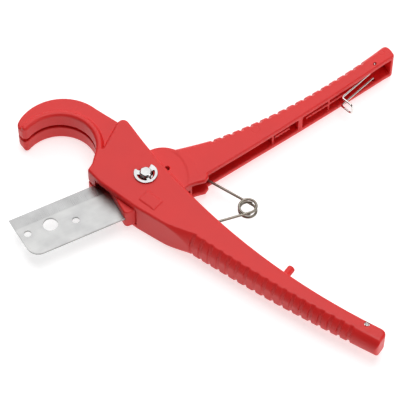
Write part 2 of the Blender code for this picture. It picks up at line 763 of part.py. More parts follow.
def make_latch(group, skin, hinge):
    """Wire bail hinged in the lever's cheeks, with a hook for the catch pin."""
    rest = radians(LATCH_REST_ANGLE)
    bend = radians(LATCH_REST_ANGLE + LATCH_BEND)
    knee = Vector((cos(rest), sin(rest), 0.0)) * LATCH_LEG
    tip = knee + Vector((cos(bend), sin(bend), 0.0)) * LATCH_HOOK
    side = Vector((0.0, 0.0, LATCH_SPAN / 2))
    end = Vector((0.0, 0.0, lever_half(LATCH_AT[0]) - 0.6))
    corners = [end, side, knee + side, tip + side, tip - side, knee - side, -side, -end]
    path = rounded_path(corners, [0.0, 1.0, 1.5, 1.2, 1.2, 1.5, 1.0, 0.0], False)
    latch = wire("latch_wire", path, LATCH_WIRE, group)
    latch.parent = hinge
    latch.location = Vector((*LATCH_AT, MID)) * MM
    finish(latch, skin, 60.0)


# ---------------------------------------------------------------- assembly

def main():
    """Build every piece in its place."""
    clear_scene()
    parts = collection("pipe_cutter")
    cutters = collection("cutters")
    red = material("red_nylon", (0.72, 0.045, 0.045), 0.42, 0.0)
    steel = material("blade_steel", (0.66, 0.67, 0.68), 0.3, 1.0)
    plated = material("plated_steel", (0.55, 0.56, 0.57), 0.25, 1.0)
    spring = material("spring_steel", (0.33, 0.31, 0.28), 0.4, 1.0)
    hinge = bpy.data.objects.new("lever_hinge", None)
    hinge.rotation_euler.z = radians(OPEN_ANGLE)
    parts.objects.link(hinge)
    make_body(parts, cutters, red)
    make_lever(parts, cutters, red, hinge)
    make_blade(parts, cutters, steel, hinge)
    make_pivot_pin(parts, plated)
    make_clip(parts, plated)
    make_pins(parts, plated, hinge)
    make_spring(parts, spring)
    make_latch(parts, plated, hinge)
    for tool in cutters.objects:
        tool.display_type = "WIRE"
        tool.hide_render = True


main()
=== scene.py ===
"""Plastic pipe cutter, lying open: red nylon mouldings, steel blade, spring, latch and clip.

Lengths are millimetres, turned into metres where a mesh is written; lamps, noise and bump
distances are given in metres.  Z = 9.3 is the middle plane of the tool, and the pivot stands
on the Z axis.  Angles are degrees, counted from +X towards +Y.
"""

import bpy
import numpy as np
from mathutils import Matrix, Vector


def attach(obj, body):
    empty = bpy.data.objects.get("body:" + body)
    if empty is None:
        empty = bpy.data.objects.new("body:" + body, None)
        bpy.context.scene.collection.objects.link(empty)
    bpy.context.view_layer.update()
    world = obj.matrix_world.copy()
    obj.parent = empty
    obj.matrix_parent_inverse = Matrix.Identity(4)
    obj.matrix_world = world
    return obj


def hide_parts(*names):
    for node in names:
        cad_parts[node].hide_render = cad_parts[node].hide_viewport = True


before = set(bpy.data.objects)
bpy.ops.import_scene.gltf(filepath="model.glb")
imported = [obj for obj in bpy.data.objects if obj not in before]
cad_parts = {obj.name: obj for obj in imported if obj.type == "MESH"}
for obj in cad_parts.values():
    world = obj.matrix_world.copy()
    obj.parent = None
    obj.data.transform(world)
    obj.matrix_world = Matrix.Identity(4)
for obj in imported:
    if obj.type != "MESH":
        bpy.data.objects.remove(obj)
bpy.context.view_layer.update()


# ---------------------------------------------------------------- body
# The body is one nylon injection moulding: a hook with a raised jaw rim and a lower outer web,
# two plates round the pivot, and a main handle with a ribbed grip.  Every edge is softly
# rounded by the mould, and the handle is hollow on the side that faces the lever.

MM = 0.001
MIDDLE = 9.3
BODY_HALF = 9.3
BODY_TIP_HALF = 6.0
BODY_TIP = 139.5
TAPER_START = 18.0
FLARE_END = 37.0              # towards the plates from here, the ribbed side flares out
PLATE_LOW = -18.3
HANDLE_FLOOR = 60.0           # the channel's floor is level up to here
JAW = (-44.2, -10.6)
JAW_RADIUS = 18.2
RIM = 3.5
POCKET_HALF = 6.05
GRIP_BULGE = 3.9
GROOVE_START = 38.6
GROOVE_PITCH = 5.06
LAST_GROOVE = 17
PIVOT_HOLE = 3.6
HEAD_RECESS = (5.45, 1.8)     # radius and depth of the recess for the pin's head
CATCH_AT = (129.4, -8.6)
POST_X = 83.0
POST_RADIUS = 1.9
PAD_AT = (12.0, -10.0)
PAD_HALF = (4.7, 3.1)
PAD_TURN = (0.995, 0.1)       # cosine and sine of the pad's slight turn
OPEN = 60.0                   # the lever stands open by this angle
BLADE_TILT = 1.9              # the blade lies in the lever at this angle
DISC_CENTRE = (9.5, 1.5)      # round back of the lever's head, lever closed


def arc(centre, radius, start, end, steps):
    """Points on a circle, evenly spaced from one angle to another, in degrees."""
    turn = np.radians(np.linspace(start, end, steps + 1))
    return np.stack([centre[0] + radius * np.cos(turn), centre[1] + radius * np.sin(turn)], 1)


def turned(points, angle):
    """Points turned about the pivot by an angle in degrees."""
    a = np.radians(angle)
    spin = np.array([[np.cos(a), np.sin(a)], [-np.sin(a), np.cos(a)]])
    return np.atleast_2d(points) @ spin


def outline_depth(x, y, corners):
    """Distance from a closed outline, negative inside.

    The distance is the least one to any side, and a point is inside when a ray along +X
    crosses the sides an odd number of times.
    """
    ends = np.roll(corners, -1, axis=0)
    nearest = np.full(np.broadcast(x, y).shape, 1e9)
    odd = np.zeros(nearest.shape, bool)
    for (ax, ay), (bx, by) in zip(corners, ends):
        sx, sy = bx - ax, by - ay
        share = np.clip(((x - ax) * sx + (y - ay) * sy) / (sx * sx + sy * sy + 1e-12), 0.0, 1.0)
        gap = (x - ax - sx * share) ** 2 + (y - ay - sy * share) ** 2
        nearest = np.minimum(nearest, gap)
        if ay != by:
            odd ^= ((ay > y) != (by > y)) & (x < sx * (y - ay) / sy + ax)
    return np.where(odd, -1.0, 1.0) * np.sqrt(nearest)


def meet(a, b, round_by):
    """What lies in both of two depths, with the edge between them rounded."""
    near = np.maximum(round_by - np.abs(a - b), 0.0)
    return np.maximum(a, b) + near * near / (4.0 * round_by)


def fuse(a, b, round_by):
    """What lies in either of two depths, with the corner between them filled."""
    return -meet(-a, -b, round_by)


def skin(name, depth, low, high, step, turn=0.0):
    """Mesh of the surface where depth(x, y, z) is zero.

    The depth is taken on a grid.  Each grid cell that the surface crosses gets one point, at
    the mean of the crossings on its twelve edges, and each grid edge that it crosses gets one
    four-sided face.  The points then slide down the slope of the depth onto the surface, and
    the slope there is the shading normal.
    """
    axes = [np.arange(a, b + s, s) for a, b, s in zip(low, high, step)]
    x, y, z = axes[0][:, None, None], axes[1][None, :, None], axes[2][None, None, :]
    value = np.broadcast_to(depth(x, y, z), [len(a) for a in axes]).astype(np.float32)
    inside = value < 0.0
    cells = np.array(value.shape) - 1
    total = np.zeros((*cells, 3), np.float32)
    count = np.zeros(cells, np.float32)
    crossed = []
    for axis in range(3):
        fore = [slice(None)] * 3
        back = [slice(None)] * 3
        fore[axis], back[axis] = slice(1, None), slice(None, -1)
        f0, f1 = value[tuple(back)], value[tuple(fore)]
        edges = np.nonzero(inside[tuple(back)] != inside[tuple(fore)])
        share = f0[edges] / (f0[edges] - f1[edges])
        spot = np.stack(edges, 1).astype(np.float32)
        spot[:, axis] += share
        crossed.append((np.stack(edges, 1), inside[tuple(back)][edges]))
        others = [i for i in range(3) if i != axis]
        for shift in ((0, 0), (0, 1), (1, 0), (1, 1)):
            cell = np.stack(edges, 1)
            cell[:, others[0]] -= shift[0]
            cell[:, others[1]] -= shift[1]
            good = np.all((cell >= 0) & (cell < cells), 1)
            where = tuple(cell[good].T)
            np.add.at(total, where, spot[good])
            np.add.at(count, where, 1.0)
    used = count > 0
    number = np.cumsum(used.ravel()).reshape(used.shape) - 1
    points = total[used] / count[used][:, None]
    points = points * np.array(step) + np.array([a[0] for a in axes])
    faces = []
    for axis, (edge, starts_inside) in enumerate(crossed):
        u, v = (axis + 1) % 3, (axis + 2) % 3
        ring = []
        for du, dv in ((1, 1), (0, 1), (0, 0), (1, 0)):
            cell = edge.copy()
            cell[:, u] -= du
            cell[:, v] -= dv
            ring.append(number[tuple(cell.T)])
        ring = np.stack(ring, 1)
        faces.append(np.where(starts_inside[:, None], ring, ring[:, ::-1]))
    faces = np.concatenate(faces)

    def slope(at):
        """Value and direction of steepest rise of the depth at points."""
        here = depth(*at.T)
        reach = 0.04
        rise = [depth(*(at + reach * np.eye(3)[i]).T) - here for i in range(3)]
        return here, np.stack(rise, 1) / reach

    for _ in range(2):
        here, rise = slope(points)
        size = np.maximum((rise ** 2).sum(1), 0.2)
        slide = np.clip(-here / size, -0.3, 0.3)
        points = points + slide[:, None] * rise
    normals = slope(points)[1]
    normals /= np.maximum(np.linalg.norm(normals, axis=1), 1e-6)[:, None]
    points[:, :2] = turned(points[:, :2], turn)
    normals[:, :2] = turned(normals[:, :2], turn)
    return written(name, points, faces, normals)


def written(name, points, faces, normals=None):
    """Mesh object from points and faces that all have the same number of corners."""
    mesh = bpy.data.meshes.new(name)
    sides = faces.shape[1]
    mesh.vertices.add(len(points))
    mesh.vertices.foreach_set("co", (points * MM).astype(np.float32).ravel())
    mesh.loops.add(faces.size)
    mesh.loops.foreach_set("vertex_index", faces.astype(np.int32).ravel())
    mesh.polygons.add(len(faces))
    mesh.polygons.foreach_set("loop_start", np.arange(0, faces.size, sides, dtype=np.int32))
    mesh.polygons.foreach_set("use_smooth", np.ones(len(faces), bool))
    mesh.update(calc_edges=True)
    mesh.validate()
    if normals is not None:
        mesh.normals_split_custom_set_from_vertices(normals.astype(np.float32).tolist())
    thing = bpy.data.objects.new(name, mesh)
    bpy.context.scene.collection.objects.link(thing)
    return thing


def body_half(x):
    """Half thickness of the body: constant round the pivot, thinner along the handle."""
    share = np.clip((x - TAPER_START) / (BODY_TIP - TAPER_START), 0, 1.1)
    return BODY_HALF + (BODY_TIP_HALF - BODY_HALF) * share


def body_edge(x):
    """Where the handle's flat faces end on the ribbed side.

    It is a parabola with its lowest point at x = 72, and a straight flare near the plates.
    """
    along = np.maximum(x, FLARE_END)
    return -14.55 + (along - 72.0) ** 2 / 1800.0 + np.minimum(x - FLARE_END, 0.0) * 0.233


def inner_edge(x):
    """Inner edge of plates and handle: one long hollow arc."""
    return 312.1 - np.sqrt(320.0 ** 2 - (x - 107.0) ** 2)


def groove(x):
    """Grip grooves along a handle: 1 on a groove's floor, 0 on a rib, with steep flanks."""
    turn = (x - GROOVE_START) / GROOVE_PITCH
    off = np.abs(turn - np.clip(np.round(turn), 0, LAST_GROOVE)) * GROOVE_PITCH
    return np.clip((1.15 - off) / 0.4, 0.0, 1.0)


def grip_depth(across, rise, half, cut):
    """Depth of a grip's bulging face, measured outward across the handle.

    The face is an arc through both flat faces' edges, and a groove flattens the arc, so it is
    deepest in the middle plane and shallow where it reaches the flat faces.
    """
    bulge = GRIP_BULGE - 0.6 * cut
    radius = (half ** 2 + bulge ** 2) / (2.0 * bulge)
    off = across + 0.35 * cut - bulge + radius
    return np.where(off > 0.0, np.hypot(off, rise) - radius, rise - radius)


def corner_arc(before, spot, after, radius, steps):
    """Arc in place of a corner, in the plane or in space.

    Its centre lies on the line that halves the corner, at radius / sine of half the angle,
    and its points are blends of its two end spokes by the sine of the angle still to turn.
    """
    b, a = before - spot, after - spot
    b, a = b / np.linalg.norm(b), a / np.linalg.norm(a)
    half = np.arccos(np.clip(b @ a, -1, 1)) / 2
    centre = spot + (b + a) / np.linalg.norm(b + a) * radius / np.sin(half)
    first = spot + b * radius / np.tan(half) - centre
    last = spot + a * radius / np.tan(half) - centre
    turn = np.pi - 2 * half
    share = np.linspace(0, turn, steps)[:, None]
    return centre + (first * np.sin(turn - share) + last * np.sin(share)) / np.sin(turn)


def corner_rounded(corners, steps=6):
    """Closed outline from corners (x, y, radius), each corner turned into an arc."""
    corners = np.asarray(corners, float)
    spots = corners[:, :2]
    path = []
    for before, spot, after, radius in zip(
        np.roll(spots, 1, axis=0), spots, np.roll(spots, -1, axis=0), corners[:, 2]
    ):
        sharp = radius == 0.0
        path.append(spot[None] if sharp else corner_arc(before, spot, after, radius, steps))
    return np.concatenate(path)


JAW_END = arc(JAW, JAW_RADIUS, 25.0, 25.0, 1)[0]
INNER_RUN = np.linspace(136.0, -22.0, 20)
PLATE_CORNERS = np.concatenate([
    [[*JAW_END, 0.0], [JAW_END[0] + 2.9, JAW_END[1] - 6.5, 6.0]],
    [[JAW_END[0] + 3.4, JAW_END[1] - 11.0, 1.5], [-15.3, -16.3, 20.0], [7.5, PLATE_LOW, 0.0]],
    [[110.0, PLATE_LOW, 0.0], [BODY_TIP, -16.2, 2.2], [BODY_TIP, -6.25, 3.0]],
    np.stack([INNER_RUN, inner_edge(INNER_RUN), 0.0 * INNER_RUN], 1),
    [[-29.5, inner_edge(-29.5) - 0.4, 3.0]],
])
PLATE_OUTLINE = np.concatenate([
    corner_rounded(PLATE_CORNERS),
    arc(JAW, JAW_RADIUS + RIM, 31.3, 180.0, 30),
    arc((JAW[0] - JAW_RADIUS - RIM / 2, JAW[1]), RIM / 2, 180.0, 360.0, 8)[1:-1],
    arc(JAW, JAW_RADIUS, 180.0, 25.0, 30)[:-1],
])
WEB_CENTRE = (-46.7, -4.3)
WEB_BACK = arc(WEB_CENTRE, 23.5, 184.0, 82.0, 24)
WEB_FRONT = arc(JAW, JAW_RADIUS + RIM / 2, 33.0, 180.0, 24)
WEB_OUTLINE = corner_rounded(np.concatenate([
    np.column_stack([WEB_BACK, np.zeros(25)]),
    [[-29.2, 18.5, 0.0], [-25.0, 17.0, 0.0], [-22.5, 1.0, 0.0]],
    np.column_stack([WEB_FRONT, np.zeros(25)]),
    [[-64.15, -12.5, 0.0], [-69.1, -12.15, 4.7]],
]))
SHOULDER = turned([[-22.0, -14.8], [0.0, -14.8]], OPEN + BLADE_TILT)
FLOOR = body_edge(HANDLE_FLOOR) + 0.4
SHOULDER_CORNER = SHOULDER[0] + (SHOULDER[1] - SHOULDER[0]) * (
    (FLOOR - SHOULDER[0, 1]) / (SHOULDER[1, 1] - SHOULDER[0, 1])
)
POCKET_OUTLINE = np.concatenate([
    arc((0, 0), 23.83, 147.5, 272.0, 26),
    [SHOULDER[0], SHOULDER_CORNER],
    arc((0, 0), 20.3, -43.9, 39.1, 14),
])
SLOT_OUTLINE = np.concatenate([
    turned([[-8.0, 11.6]], BLADE_TILT),
    arc((0, 0), 68.5, 172.2, 181.8, 4),
    [[-90.0, -2.15], [-90.0, -30.0], [-8.0, -30.0]],
])
OPEN_DISC = turned([DISC_CENTRE], OPEN)[0]


def body_depth(x, y, z):
    """Depth of the body: outline, thickness and grip arc meet, and the hollows are taken out."""
    rise = np.abs(z - MIDDLE)
    half = body_half(x)
    round_jaw = np.hypot(x - JAW[0], y - JAW[1])
    crown = np.clip((round_jaw - JAW_RADIUS - RIM / 2) / (RIM / 2), -1.5, 1.5) ** 2 * 0.3
    crown = np.where(x < -24.0, crown * np.clip((-24.0 - x) / 4.0, 0, 1), 0.0)
    crown = np.where(round_jaw < JAW_RADIUS + RIM + 0.5, crown, 0.0)
    solid = meet(outline_depth(x, y, PLATE_OUTLINE), rise - half + crown, 1.5)
    web = meet(outline_depth(x, y, WEB_OUTLINE), rise - BODY_HALF + 2.0, 1.2)
    solid = fuse(solid, web, 0.9)
    fullness = 0.35 + 0.4 * np.clip((125.0 - x) / 40.0, 0.0, 1.0)
    grip = grip_depth(body_edge(x) - fullness - y, rise, half, groove(x))
    solid = meet(solid, grip, 0.35)
    pad = np.maximum(
        np.abs(x * PAD_TURN[0] - y * PAD_TURN[1] - PAD_AT[0]) - PAD_HALF[0],
        np.abs(y * PAD_TURN[0] + x * PAD_TURN[1] - PAD_AT[1]) - PAD_HALF[1],
    )
    pad = meet(pad, np.abs(z - BODY_HALF * 2 + 1.0) - 1.4, 0.7)
    solid = fuse(solid, pad, 0.6)
    mark = np.abs(np.hypot(x + 50.0, y - 13.6) - 1.3)
    solid = solid + 0.08 * np.exp(-(mark / 0.3) ** 2)
    pocket = outline_depth(x, y, POCKET_OUTLINE)
    pocket = np.minimum(pocket, np.hypot(x - OPEN_DISC[0], y - OPEN_DISC[1]) - 13.1)
    solid = meet(solid, -np.maximum(pocket, rise - POCKET_HALF), 0.5)
    channel_half = 6.5 + (4.1 - 6.5) * np.clip((x - 60.0) / 77.0, 0, 1)
    floor = body_edge(np.maximum(x, HANDLE_FLOOR)) + 0.4
    floor = floor - 0.8 * np.clip((x - 106.0) / 8.0, 0.0, 1.0)
    channel = np.maximum(19.7 - np.hypot(x, y), 6.0 - x)
    channel = np.maximum(channel, np.maximum(x - 137.3, floor - y))
    solid = meet(solid, -np.maximum(channel, rise - channel_half), 0.6)
    slot = outline_depth(x, y, SLOT_OUTLINE)
    solid = meet(solid, -np.maximum(slot, rise - 1.0), 0.4)
    bore = np.hypot(x, y)
    solid = meet(solid, PIVOT_HOLE - bore, 0.3)
    solid = meet(solid, -np.maximum(bore - HEAD_RECESS[0], z - HEAD_RECESS[1]), 0.3)
    solid = meet(solid, 1.3 - np.hypot(x - CATCH_AT[0], y - CATCH_AT[1]), 0.2)
    post = meet(np.hypot(x - POST_X, rise) - POST_RADIUS, y - 0.5, 0.8)
    post = np.maximum(post, -14.8 - y)
    return fuse(solid, post, 0.5)


def ported(tree, name, kind):
    """Add a node of one kind, with a label, to a material or a group."""
    node = tree.nodes.new(kind)
    node.label = name
    return node


def grain_group():
    """Fine moulded or ground grain: a height for bump, and a mask that shifts tone in patches."""
    group = bpy.data.node_groups.new("surface_grain", "ShaderNodeTree")
    for title, way, kind in (
        ("Vector", "INPUT", "NodeSocketVector"),
        ("Fineness", "INPUT", "NodeSocketFloat"),
        ("Patches", "INPUT", "NodeSocketFloat"),
        ("Height", "OUTPUT", "NodeSocketFloat"),
        ("Patch", "OUTPUT", "NodeSocketFloat"),
    ):
        group.interface.new_socket(title, in_out=way, socket_type=kind)
    start = ported(group, "in", "NodeGroupInput")
    end = ported(group, "out", "NodeGroupOutput")
    fine = ported(group, "fine grain", "ShaderNodeTexNoise")
    fine.inputs["Detail"].default_value = 3.0
    broad = ported(group, "broad patches", "ShaderNodeTexNoise")
    broad.inputs["Detail"].default_value = 2.0
    group.links.new(start.outputs["Vector"], fine.inputs["Vector"])
    group.links.new(start.outputs["Fineness"], fine.inputs["Scale"])
    group.links.new(start.outputs["Vector"], broad.inputs["Vector"])
    group.links.new(start.outputs["Patches"], broad.inputs["Scale"])
    group.links.new(fine.outputs["Fac"], end.inputs["Height"])
    group.links.new(broad.outputs["Fac"], end.inputs["Patch"])
    return group


def new_material(name, metallic):
    """Start a material: its shader, and object coordinates to hang patterns on."""
    made = bpy.data.materials.new(name)
    made.use_nodes = True
    tree = made.node_tree
    shader = tree.nodes["Principled BSDF"]
    shader.inputs["Metallic"].default_value = metallic
    place = ported(tree, "object coordinates", "ShaderNodeTexCoord").outputs["Object"]
    return made, tree, shader, place


def spread(tree, value, low, high, start=0.0, end=1.0):
    """Map a value that runs start..end onto low..high, which may be colours."""
    ramp = ported(tree, "spread", "ShaderNodeValToRGB")
    ramp.color_ramp.elements[0].position = start
    ramp.color_ramp.elements[1].position = end
    for stop, tone in zip(ramp.color_ramp.elements, (low, high)):
        stop.color = (*tone, 1.0) if np.ndim(tone) else (tone, tone, tone, 1.0)
    tree.links.new(value, ramp.inputs["Fac"])
    return ramp.outputs["Color"]


def bumped(tree, shader, height, strength, distance):
    """Let a height tilt the shading normal."""
    bump = ported(tree, "bump", "ShaderNodeBump")
    bump.inputs["Strength"].default_value = strength
    bump.inputs["Distance"].default_value = distance
    tree.links.new(height, bump.inputs["Height"])
    tree.links.new(bump.outputs["Normal"], shader.inputs["Normal"])


GRAIN = grain_group()


def grained(tree, place, fineness, patches):
    """Place the grain group with its own fineness and patch size."""
    node = ported(tree, "surface grain", "ShaderNodeGroup")
    node.node_tree = GRAIN
    node.inputs["Fineness"].default_value = fineness
    node.inputs["Patches"].default_value = patches
    tree.links.new(place, node.inputs["Vector"])
    return node.outputs["Height"], node.outputs["Patch"]


def red_nylon():
    """Glass-filled nylon, through-coloured red: spark-eroded grain, satin, with flow patches."""
    made, tree, shader, place = new_material("red_nylon_skin", 0.0)
    height, patch = grained(tree, place, 2600.0, 38.0)
    red = spread(tree, patch, (0.69, 0.0180, 0.0170), (0.75, 0.0230, 0.0210), 0.3, 0.7)
    tree.links.new(red, shader.inputs["Base Color"])
    tree.links.new(spread(tree, patch, 0.36, 0.46, 0.3, 0.7), shader.inputs["Roughness"])
    shader.inputs["Specular IOR Level"].default_value = 0.36
    bumped(tree, shader, height, 0.25, 0.00012)
    return made


NYLON = red_nylon()
body = skin(
    "body_moulding", body_depth, (-71.2, -19.2, -0.9), (140.4, 22.0, 19.9), (0.46, 0.52, 0.5)
)
body.data.materials.append(NYLON)
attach(body, "frame")
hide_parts("main_frame")


# ---------------------------------------------------------------- lever
# The lever is the second moulding: a flat head that holds the blade and turns between the
# plates, then a hollow arm with the same ribbed grip.  Cross ribs stiffen the hollow, and
# one of them is the stop that meets the post.  It is worked out closed, then swung open.

HEAD_HALF = 5.95
DISC_RADIUS = 12.8
LEVER_CHEEK = 2.8             # thickness of each wall beside the hollow
LATCH_HOLE = (129.9, 13.2)
FRONT_PIN = (-11.7, -3.3)     # along and across the blade from the pivot
LEVER_MARKS = (((59.5, 3.3), 2.1), ((136.0, 17.8), 1.5))     # spot and radius


def lever_half(x):
    """Half thickness of the arm, growing towards the end."""
    return 6.2 + 1.9 * np.clip((x - 55.0) / 85.0, 0.0, 1.1)


def lever_edge(x):
    """Where the arm's flat faces end on the ribbed side."""
    slow = 310.2 - np.sqrt(305.0 ** 2 - (x - 44.0) ** 2)
    droop = 0.6 * np.clip((x - 108.0) / 30.0, 0.0, 1.0)
    return slow + np.maximum(FLARE_END - x, 0.0) * 0.09 - droop


def lever_inner(x):
    """Inner edge of the arm, a very long arc."""
    return -10.3 + 0.184 * (x - 27.7) + (x - 27.7) ** 2 / 4360.0


ARM_RUN = np.arange(40.0, 137.0, 12.0)
ARM_START = arc((0, 0), 20.0, 50.0, -37.5, 16)
ARM_OUTLINE = corner_rounded(np.concatenate([
    np.column_stack([ARM_START, np.zeros(17)]),
    [[25.0, -13.6, 1.0], [27.4, -12.0, 0.8], [27.7, -10.3, 0.0]],
    np.stack([ARM_RUN, lever_inner(ARM_RUN), 0.0 * ARM_RUN], 1),
    [[141.6, lever_inner(140.0), 2.2], [140.7, 27.0, 3.0], [135.0, 34.0, 0.0], [20.0, 24.0, 0.0]],
]))
HEAD_OUTLINE = corner_rounded(np.concatenate([
    np.column_stack([turned([[-18.0, -14.2], [11.0, -14.2]], BLADE_TILT), [2.0, 0.0]]),
    [[17.5, -12.6, 0.0], [24.0, -12.0, 0.0], [24.0, 6.0, 0.0]],
    np.column_stack([arc(DISC_CENTRE, DISC_RADIUS, 22.0, 96.0, 14), np.zeros(15)]),
    np.column_stack([turned([[-18.0, 12.2]], BLADE_TILT), [6.0]]),
]))
LEVER_RIBS = (                # place, half width and how far down (y) each cross rib comes
    (45.9, 0.55, -1.4), (66.9, 0.6, -1.4), (POST_X, 1.2, 0.8), (101.0, 0.5, 5.6),
)
LEVER_LEDGES = ((68.0, 77.0), (87.0, 116.0))     # start and end of each lengthwise ledge


def lever_depth(x, y, z):
    """Depth of the lever, lying closed along +X, with its hollows taken out and ribs put in."""
    rise = np.abs(z - MIDDLE)
    half = lever_half(x)
    arm = meet(outline_depth(x, y, ARM_OUTLINE), rise - half, 1.3)
    edge = lever_edge(x)
    corner = 0.35 + 2.2 * np.clip((x - 133.0) / 5.0, 0.0, 1.0)
    arm = meet(arm, grip_depth(y - edge, rise, half, groove(x)), corner)
    head = meet(outline_depth(x, y, HEAD_OUTLINE), rise - HEAD_HALF, 0.9)
    solid = fuse(arm, head, 0.8)
    for spot, size in LEVER_MARKS:
        mark = np.abs(np.hypot(x - spot[0], y - spot[1]) - size)
        solid = solid + 0.14 * np.exp(-(mark / 0.28) ** 2)
    floor = np.minimum(edge - 0.5, lever_inner(x) + 6.0 + 1.5 * np.maximum(66.0 - x, 0.0))
    hollow = np.maximum(np.maximum(18.5 - x, x - 139.2), y - floor)
    solid = meet(solid, -np.maximum(hollow, rise - half + LEVER_CHEEK), 0.9)
    for place, width, front in LEVER_RIBS:
        rib = np.maximum(np.abs(x - place) - width, np.maximum(front - y, y - edge))
        solid = fuse(solid, np.maximum(rib, rise - half + 1.0), 0.5)
    for start, end in LEVER_LEDGES:
        ledge = np.maximum(np.abs(x - (start + end) / 2) - (end - start) / 2, y - edge)
        ledge = np.maximum(np.maximum(ledge, lever_inner(x) + 1.2 - y), rise - 0.7)
        solid = fuse(solid, ledge, 0.3)
    a = np.radians(BLADE_TILT)
    along = x * np.cos(a) + y * np.sin(a)
    across = y * np.cos(a) - x * np.sin(a)
    slot = np.maximum(np.maximum(along - 16.85, np.abs(across + 1.0) - 12.2), rise - 0.9)
    solid = meet(solid, -slot, 0.3)
    solid = meet(solid, PIVOT_HOLE - np.hypot(x, y), 0.3)
    for spot in ((11.4, 0.4), FRONT_PIN):
        pin_hole = np.maximum(np.hypot(along - spot[0], across - spot[1]) - 1.3, 4.6 - z)
        solid = meet(solid, -pin_hole, 0.2)
    return meet(solid, 0.8 - np.hypot(x - LATCH_HOLE[0], y - LATCH_HOLE[1]), 0.2)


lever = skin(
    "lever_moulding", lever_depth, (-19.2, -15.2, 0.6), (142.5, 25.2, 18.0), (0.45, 0.45, 0.45),
    OPEN,
)
lever.data.materials.append(NYLON)
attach(lever, "lever")
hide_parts("lever_handle")


# ---------------------------------------------------------------- blade
# Reversible blade of hardened strip steel, with large holes for the pivot and small ones for
# its two pins.  The faces are rolled and lightly scratched along their length, and the
# cutting side is ground from both faces, which leaves fine lines square to the edge.

BLADE_ANGLE = OPEN + BLADE_TILT


def blade_steel():
    """Satin strip steel with scratches along it; the ground band has cross lines and painted
    shade.
    """
    made, tree, shader, place = new_material("blade_steel_skin", 1.0)
    lie = ported(tree, "along the blade", "ShaderNodeMapping")
    lie.vector_type = "TEXTURE"
    lie.inputs["Rotation"].default_value = (0.0, 0.0, np.radians(BLADE_ANGLE))
    tree.links.new(place, lie.inputs["Vector"])
    parts = ported(tree, "blade axes", "ShaderNodeSeparateXYZ")
    tree.links.new(lie.outputs["Vector"], parts.inputs["Vector"])
    ground = spread(tree, spanned(tree, parts.outputs["Y"], 0.0040, 0.0046), 0.0, 1.0)
    long_lines = stretched_noise(tree, lie.outputs["Vector"], (60.0, 3200.0, 60.0))
    cross_lines = stretched_noise(tree, lie.outputs["Vector"], (4200.0, 90.0, 90.0))
    lines = mixed(tree, ground, long_lines, cross_lines)
    patch = grained(tree, place, 420.0, 95.0)[1]
    rolled = spread(tree, patch, (0.355, 0.355, 0.355), (0.425, 0.425, 0.42), 0.35, 0.65)
    # The ground band's darker grey is painted shade, standing in for the bevel turned away from
    # the light; its cross lines and gloss are its own.
    honed_painted_shade = spread(tree, patch, (0.29, 0.29, 0.29), (0.36, 0.36, 0.36), 0.35, 0.65)
    tree.links.new(mixed(tree, ground, rolled, honed_painted_shade), shader.inputs["Base Color"])
    rolled_gloss = spread(tree, lines, 0.30, 0.46, 0.3, 0.7)
    honed_gloss = spread(tree, lines, 0.26, 0.36, 0.3, 0.7)
    gloss = mixed(tree, ground, rolled_gloss, honed_gloss)
    tree.links.new(gloss, shader.inputs["Roughness"])
    bumped(tree, shader, lines, 0.3, 0.00008)
    return made


def spanned(tree, value, start, end):
    """Turn a value into 0..1 between two limits."""
    node = ported(tree, "span", "ShaderNodeMapRange")
    node.inputs["From Min"].default_value = start
    node.inputs["From Max"].default_value = end
    tree.links.new(value, node.inputs["Value"])
    return node.outputs["Result"]


def stretched_noise(tree, vector, scale):
    """Noise drawn out into lines by an uneven scale."""
    stretch = ported(tree, "stretch", "ShaderNodeMapping")
    stretch.inputs["Scale"].default_value = scale
    noise = ported(tree, "lines", "ShaderNodeTexNoise")
    noise.inputs["Scale"].default_value = 1.0
    noise.inputs["Detail"].default_value = 2.0
    tree.links.new(vector, stretch.inputs["Vector"])
    tree.links.new(stretch.outputs["Vector"], noise.inputs["Vector"])
    return noise.outputs["Fac"]


def mixed(tree, share, first, second):
    """Blend two colours or values by a share."""
    node = ported(tree, "mix", "ShaderNodeMix")
    node.data_type = "RGBA"
    tree.links.new(share, node.inputs["Factor"])
    tree.links.new(first, node.inputs["A"])
    tree.links.new(second, node.inputs["B"])
    return node.outputs["Result"]


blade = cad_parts["cutting_blade"]
blade.data.materials.clear()
blade.data.materials.append(blade_steel())


# ---------------------------------------------------------------- pivot pin and clip
# A headed steel pin joins the two plates.  Its grooved end stands out of the upper plate,
# chamfered to a rounded six-sided tip, and an open ring clip of plated spring steel, stamped
# from strip, is pushed into the groove.

def ringed(name, rings, first, last):
    """Closed surface through rings of points, ended by one point at each end.

    Point j of ring i joins point j + 1 of the same ring and point j of the next one, and
    each of those four-sided faces is split into two triangles.
    """
    count, sides = rings.shape[:2]
    points = np.concatenate([rings.reshape(-1, 3), [first, last]])
    i, j = np.meshgrid(np.arange(count - 1), np.arange(sides), indexing="ij")
    a, b = i * sides + j, i * sides + (j + 1) % sides
    c, d = b + sides, a + sides
    turn = np.arange(sides)
    after = (turn + 1) % sides
    start, end = count * sides, count * sides + 1
    base = (count - 1) * sides
    faces = np.concatenate([
        np.stack([a, b, c], -1).reshape(-1, 3),
        np.stack([a, c, d], -1).reshape(-1, 3),
        np.stack([np.full(sides, start), after, turn], 1),
        np.stack([np.full(sides, end), base + turn, base + after], 1),
    ])
    return written(name, points, faces)


